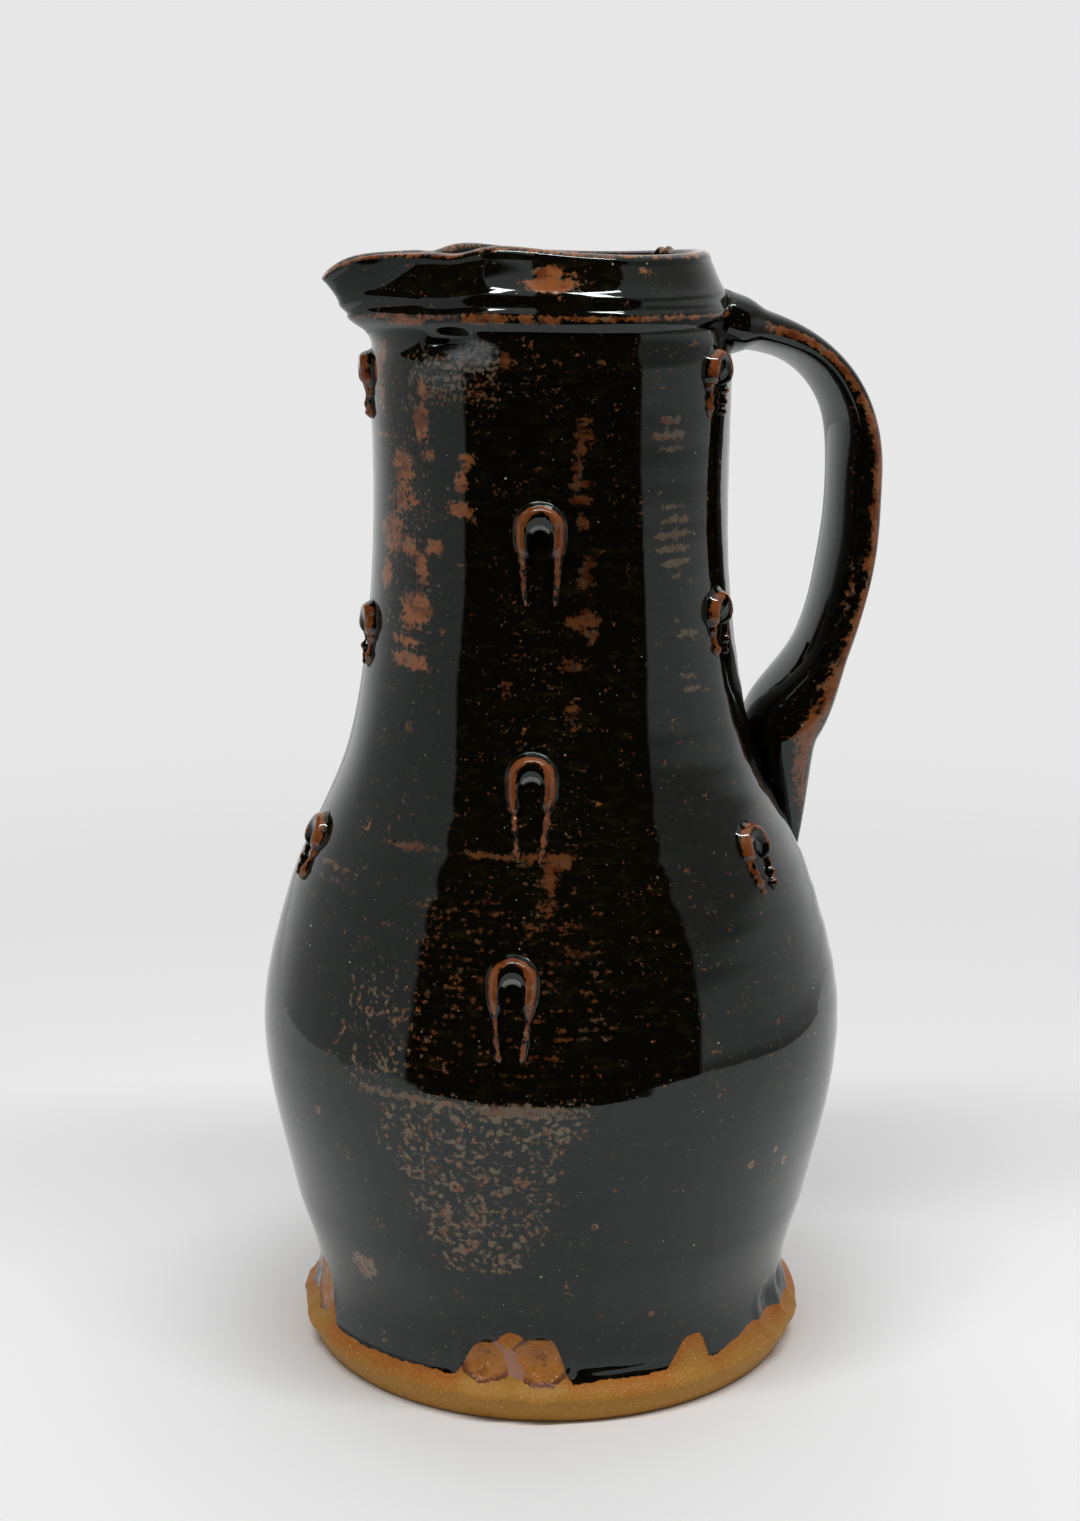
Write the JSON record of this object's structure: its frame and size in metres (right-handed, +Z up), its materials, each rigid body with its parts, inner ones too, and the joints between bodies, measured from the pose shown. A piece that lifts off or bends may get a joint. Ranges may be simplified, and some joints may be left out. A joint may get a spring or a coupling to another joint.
{
  "type": "baluster jug",
  "caption": "Tall baluster-shaped stoneware pouring jug with a pulled spout, a strap handle, a thumb-pressed foot and applied horseshoe prunts.",
  "frame": {"origin": "centre of the flat base on which the jug stands", "axes": "+Z up along the throwing axis, +X towards the handle, -X towards the spout"},
  "size_m": [0.1879, 0.1768, 0.332],
  "materials": {
    "tenmoku_glaze": "very glossy black-brown iron glaze that breaks to rust on edges and to tan where thin, over a bare orange-tan stoneware foot",
    "rust_break_glaze": "the same glossy glaze, broken to rust brown where it runs thin over the raised clay"
  },
  "bodies": {
    "root": {"thrown_body": "tenmoku_glaze", "handle": "tenmoku_glaze", "prunt_front_top": "rust_break_glaze", "prunt_front_middle": "rust_break_glaze", "prunt_front_low": "rust_break_glaze", "prunt_handle_near_top": "rust_break_glaze", "prunt_handle_near_middle": "rust_break_glaze", "prunt_handle_near_low": "rust_break_glaze", "prunt_handle_far_top": "rust_break_glaze", "prunt_handle_far_middle": "rust_break_glaze", "prunt_handle_far_low": "rust_break_glaze", "prunt_back_top": "rust_break_glaze", "prunt_back_middle": "rust_break_glaze", "prunt_back_low": "rust_break_glaze", "prunt_spout_top": "rust_break_glaze", "prunt_spout_middle": "rust_break_glaze", "prunt_spout_low": "rust_break_glaze"}
  },
  "joints": []
}
